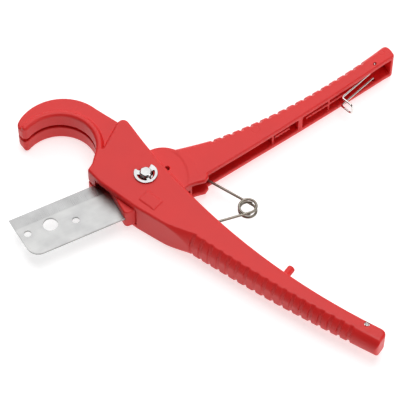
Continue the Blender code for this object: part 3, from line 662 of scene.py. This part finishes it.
def spun(name, profile, spot, sides=48, flats=0.0, flats_above=1e9):
    """Turned piece: a profile of (radius, height) from the bottom up, swung round the Z axis.

    Above a height, six shallow flats press the circle in by up to flats millimetres.
    """
    profile = np.asarray(profile, float)
    turn = np.linspace(0, 2 * np.pi, sides, endpoint=False)
    facet = flats * (0.5 - 0.5 * np.cos(6 * turn)) ** 0.7
    pressed = (profile[:, 1] > flats_above)[:, None] * facet[None, :]
    radius = np.maximum(profile[:, :1] - pressed, 0.02)
    rings = np.stack([
        spot[0] + radius * np.cos(turn),
        spot[1] + radius * np.sin(turn),
        np.broadcast_to(profile[:, 1:], radius.shape),
    ], -1)
    first = [spot[0], spot[1], profile[0, 1]]
    last = [spot[0], spot[1], profile[-1, 1]]
    return ringed(name, rings, first, last)


def rounded_profile(corners, radii):
    """Profile with each corner turned into a small arc of its own radius."""
    return corner_rounded(np.column_stack([corners, radii]), steps=5)


def plated_steel(name, tone, low, high):
    """Bright zinc plate over steel: faint clouds in the gloss and very fine tumbling marks."""
    made, tree, shader, place = new_material(name, 1.0)
    height, patch = grained(tree, place, 3800.0, 240.0)
    dim = tuple(0.86 * c for c in tone)
    tree.links.new(spread(tree, patch, dim, tone, 0.35, 0.65), shader.inputs["Base Color"])
    tree.links.new(spread(tree, patch, low, high, 0.3, 0.7), shader.inputs["Roughness"])
    bumped(tree, shader, height, 0.12, 0.00005)
    return made


PLATE = plated_steel("zinc_plate", (0.50, 0.50, 0.505), 0.14, 0.26)
CHROME = plated_steel("nickel_wire", (0.86, 0.85, 0.82), 0.05, 0.12)
TIP = 20.6
NECK_TOP = 19.4               # the clip's groove ends here, and the six-sided tip begins
pin = spun(
    "pivot_pin_turned",
    rounded_profile(
        [[0.02, 0.0], [5.3, 0.0], [5.3, 1.7], [3.5, 1.7], [3.5, 17.2], [2.1, 17.2],
         [2.1, NECK_TOP], [2.95, NECK_TOP], [2.95, TIP - 0.5], [2.5, TIP], [0.02, TIP]],
        [0.0, 0.35, 0.15, 0.1, 0.2, 0.05, 0.05, 0.08, 0.2, 0.2, 0.0],
    ),
    (0.0, 0.0),
    flats=0.16,
    flats_above=19.45,
)
pin.data.materials.append(PLATE)
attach(pin, "frame")
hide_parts("pivot_pin")

CLIP_MOUTH = 144.0


def clip_depth(x, y, z):
    """Depth of the clip: a flat ring with an open mouth and three tongues, edges rounded."""
    radius = np.hypot(x, y)
    turn = np.degrees(np.arctan2(y, x)) - CLIP_MOUTH
    turn = np.abs((turn + 180.0) % 360.0 - 180.0)
    ring = np.maximum(radius - 5.75, 4.3 - radius)
    tongue = np.maximum(radius - 4.6, 2.25 - radius)
    back = np.maximum(np.abs(turn - 180.0) * np.radians(1.0) * radius - 0.8, 2.9 - radius)
    side = np.abs(turn - 63.0) * np.radians(1.0) * radius - 1.5
    tongue = np.maximum(tongue, np.minimum(back, side))
    shape = fuse(ring, tongue, 0.5)
    mouth = (42.0 - turn) * np.radians(1.0) * radius
    shape = meet(shape, mouth, 1.3)
    return meet(shape, np.abs(z - 19.02) - 0.38, 0.25)


clip = skin(
    "pivot_clip_stamped", clip_depth, (-6.1, -6.1, 18.4), (6.1, 6.1, 19.6), (0.14, 0.14, 0.1)
)
clip.data.materials.append(PLATE)
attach(clip, "frame")
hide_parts("pivot_e_clip")


# ---------------------------------------------------------------- blade pins and catch pin
# Three plain dowel pins of drawn steel: two hold the blade in the lever's head, and one
# crosses the end of the main handle, where the latch hooks round it.

# The dowels' steel gets a dark grey: painted shade for the holes they sit deep in, not a tone of
# the steel itself.
DOWEL_PAINTED_SHADE = plated_steel("drawn_dowel_painted_shade", (0.30, 0.30, 0.30), 0.22, 0.34)


def dowel(name, spot, radius, low, high, body_name, node):
    """Plain pin with chamfered ends."""
    corners = [[0.02, low], [radius, low], [radius, high], [0.02, high]]
    piece = spun(name, rounded_profile(corners, [0.0, 0.22, 0.22, 0.0]), spot, 32)
    piece.data.materials.append(DOWEL_PAINTED_SHADE)
    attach(piece, body_name)
    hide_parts(node)


REAR_AT, FRONT_AT = turned([[11.8, 0.0], FRONT_PIN], BLADE_ANGLE)
dowel("rear_blade_dowel", REAR_AT, 1.7, 5.0, 12.2, "lever", "blade_pin_rear")
dowel("front_blade_dowel", FRONT_AT, 1.7, 5.0, 12.2, "lever", "blade_pin_front")
dowel("catch_dowel", CATCH_AT, 0.9, 3.7, 14.9, "frame", "latch_catch_pin")


# ---------------------------------------------------------------- spring
# Torsion spring of hard-drawn wire, greyish brown as it comes from the coiler.  One leg
# runs into the hollow of each handle and pushes it open.  It is built as two half springs
# that meet in the middle of the coil, each moving with its own leg.

SPRING_CENTRE = np.array([47.4, 16.5])
SPRING_WIRE = 0.63
COIL_RADIUS = 4.1
COIL_PITCH = 1.38


def drawn(name, path, radius, sides=20):
    """Round wire along a path, with domed ends.

    Each point of the path carries a circle square to the path's direction there, and three
    shrinking circles and a point close each end.
    """
    path = np.asarray(path, float)
    along = np.gradient(path, axis=0)
    along /= np.linalg.norm(along, axis=1)[:, None]
    dome = np.radians([70.0, 45.0, 20.0])
    out, shrink = radius * np.sin(dome)[:, None], radius * np.cos(dome)
    spots = np.concatenate([path[0] - along[0] * out, path, path[-1] + along[-1] * out[::-1]])
    sizes = np.concatenate([shrink, np.full(len(path), radius), shrink[::-1]])
    ways = np.concatenate([np.repeat(along[:1], 3, 0), along, np.repeat(along[-1:], 3, 0)])
    side = np.cross(ways, [0.62, 0.35, 0.70])
    side /= np.linalg.norm(side, axis=1)[:, None]
    lift = np.cross(ways, side)
    turn = np.linspace(0, 2 * np.pi, sides, endpoint=False)
    cosine, sine = np.cos(turn)[None, :, None], np.sin(turn)[None, :, None]
    circle = side[:, None] * cosine + lift[:, None] * sine
    rings = spots[:, None] + circle * sizes[:, None, None]
    return ringed(name, rings, path[0] - along[0] * radius, path[-1] + along[-1] * radius)


def half_spring(leg, out, length, way):
    """Path of a straight leg that runs into most of one turn of the coil, rising or falling."""
    first = np.radians(leg - 90.0)
    touch = COIL_RADIUS * np.array([np.cos(first), np.sin(first)])
    reach = np.array([np.cos(np.radians(out)), np.sin(np.radians(out))])
    run = np.linspace(length, 0.0, 12)[:, None] * reach + touch
    start = MIDDLE + way * (COIL_PITCH + SPRING_WIRE + 0.15)
    swing = np.radians(np.linspace(0.0, 352.0, 72)[1:]) * way
    coil = COIL_RADIUS * np.stack([np.cos(first + swing), np.sin(first + swing)], 1)
    fall = start - COIL_PITCH * swing / (2 * np.pi)
    flat = np.concatenate([run, coil]) + SPRING_CENTRE
    return np.column_stack([flat, np.concatenate([np.full(12, start), fall])])


def spring_steel():
    """Hard-drawn wire: brown-grey, with drawing lines round it and dull patches."""
    made, tree, shader, place = new_material("spring_wire_skin", 1.0)
    height, patch = grained(tree, place, 2200.0, 150.0)
    tone = spread(tree, patch, (0.20, 0.18, 0.145), (0.34, 0.315, 0.27), 0.3, 0.7)
    tree.links.new(tone, shader.inputs["Base Color"])
    tree.links.new(spread(tree, patch, 0.30, 0.46, 0.3, 0.7), shader.inputs["Roughness"])
    bumped(tree, shader, height, 0.2, 0.00008)
    return made


SPRING_SKIN = spring_steel()
MAIN_LEG = half_spring(53.5, 233.5, 33.0, 1)
LEVER_LEG = half_spring(180.9, 180.9, 33.4, -1)
for title, path, carrier, node in (
    ("spring_leg_main", MAIN_LEG, "spring_main_half", "spring_main_arm"),
    ("spring_leg_lever", LEVER_LEG, "spring_lever_half", "spring_lever_arm"),
):
    half = drawn(title, path, SPRING_WIRE)
    half.data.materials.append(SPRING_SKIN)
    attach(half, carrier)
    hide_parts(node)


# ---------------------------------------------------------------- latch
# A bail of bright plated wire, sprung into a hole in each cheek of the lever's hollow.  Its
# legs end in a turned-down hook that swings over the catch pin and holds the handles shut.

LATCH_WIRE = 0.55
LATCH_LEG = 24.2
LATCH_HOOK = 7.5


def bent(corners, radii, gap=0.35):
    """Path through corners in space, each one turned into an arc, with even close points."""
    corners = np.asarray(corners, float)
    path = [corners[:1]]
    for before, spot, after, radius in zip(corners, corners[1:], corners[2:], radii):
        path.append(corner_arc(before, spot, after, radius, 9))
    path = np.concatenate([*path, corners[-1:]])
    run = np.concatenate([[0.0], np.cumsum(np.linalg.norm(np.diff(path, axis=0), axis=1))])
    even = np.linspace(0.0, run[-1], int(run[-1] / gap))
    return np.stack([np.interp(even, run, path[:, i]) for i in range(3)], 1)


def heading(angle):
    """Unit step in the middle plane at an angle, lever open."""
    return np.array([np.cos(np.radians(angle)), np.sin(np.radians(angle)), 0.0])


LATCH_AT = np.append(turned([LATCH_HOLE], OPEN)[0], MIDDLE)
KNEE = LATCH_LEG * heading(-159.0 + OPEN)
NOSE = KNEE + LATCH_HOOK * heading(-160.2 + 89.5 + OPEN)
SPAN = np.array([0.0, 0.0, 3.25])     # half the width of the bail
FOOT = np.array([0.0, 0.0, 7.2])      # how far its ends reach into the cheeks
LATCH_PATH = LATCH_AT + bent(
    [FOOT, SPAN, KNEE + SPAN, NOSE + SPAN, NOSE - SPAN, KNEE - SPAN, -SPAN, -FOOT],
    [1.0, 1.5, 2.2, 2.2, 1.5, 1.0],
)
latch = drawn("latch_bail", LATCH_PATH, LATCH_WIRE)
latch.data.materials.append(CHROME)
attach(latch, "latch")
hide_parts("latch_wire")


# ---------------------------------------------------------------- studio
# A white table lit from beneath, a dim tent, a broad lamp behind and two smaller ones.

def table_white():
    """Frosted white acrylic, lit from beneath, with a trace of tooth."""
    made, tree, shader, place = new_material("table_acrylic", 0.0)
    height, patch = grained(tree, place, 300.0, 3.0)
    tree.links.new(spread(tree, patch, 0.58, 0.60), shader.inputs["Base Color"])
    shader.inputs["Roughness"].default_value = 0.9
    shader.inputs["Emission Color"].default_value = (1.0, 1.0, 1.0, 1.0)
    shader.inputs["Emission Strength"].default_value = 0.66
    bumped(tree, shader, height, 0.02, 0.0002)
    return made


CORNERS = 3.0 * np.array([[-1, -1], [1, -1], [1, 1], [-1, 1]])     # metres
floor = written(
    "table",
    np.column_stack([CORNERS / MM, np.full(4, -0.2)]),
    np.array([[0, 1, 2, 3]]),
)
floor.data.materials.append(table_white())

sky = bpy.data.worlds.new("tent")
sky.use_nodes = True
sky.node_tree.nodes["Background"].inputs["Color"].default_value = (1.0, 1.0, 1.0, 1.0)
sky.node_tree.nodes["Background"].inputs["Strength"].default_value = 0.12
bpy.context.scene.world = sky


def lamp(name, spot, aim, size, power):
    """Square soft light at a spot, facing an aim, both in metres."""
    light = bpy.data.lights.new(name, "AREA")
    light.size = size
    light.energy = power
    holder = bpy.data.objects.new(name, light)
    holder.location = spot
    holder.rotation_euler = (Vector(aim) - Vector(spot)).to_track_quat("-Z", "Y").to_euler()
    bpy.context.scene.collection.objects.link(holder)


lamp("back", (-0.458, 0.658, 0.892), (0.03, 0.02, 0.0), 1.5, 12.0)
lamp("top", (0.1, 0.1, 1.3), (0.03, 0.02, 0.0), 0.7, 6.0)
lamp("side", (0.95, 0.1, 0.30), (0.05, 0.05, 0.0), 0.5, 2.4)

AIM = Vector((22.5, 12.7, 0.0)) * MM
AZIMUTH, ELEVATION, DISTANCE = np.radians(34.78), np.radians(55.65), 0.98735
camera = bpy.data.objects.new("camera", bpy.data.cameras.new("camera"))
camera.data.lens = 184.8
camera.data.sensor_width = 36.0
camera.data.clip_start = 0.05
BACK = Vector((
    np.sin(AZIMUTH) * np.cos(ELEVATION),
    -np.cos(AZIMUTH) * np.cos(ELEVATION),
    np.sin(ELEVATION),
))
camera.location = AIM + BACK * DISTANCE
camera.rotation_euler = (-BACK).to_track_quat("-Z", "Y").to_euler()
bpy.context.scene.collection.objects.link(camera)
bpy.context.scene.camera = camera
bpy.context.scene.view_settings.view_transform = "Standard"
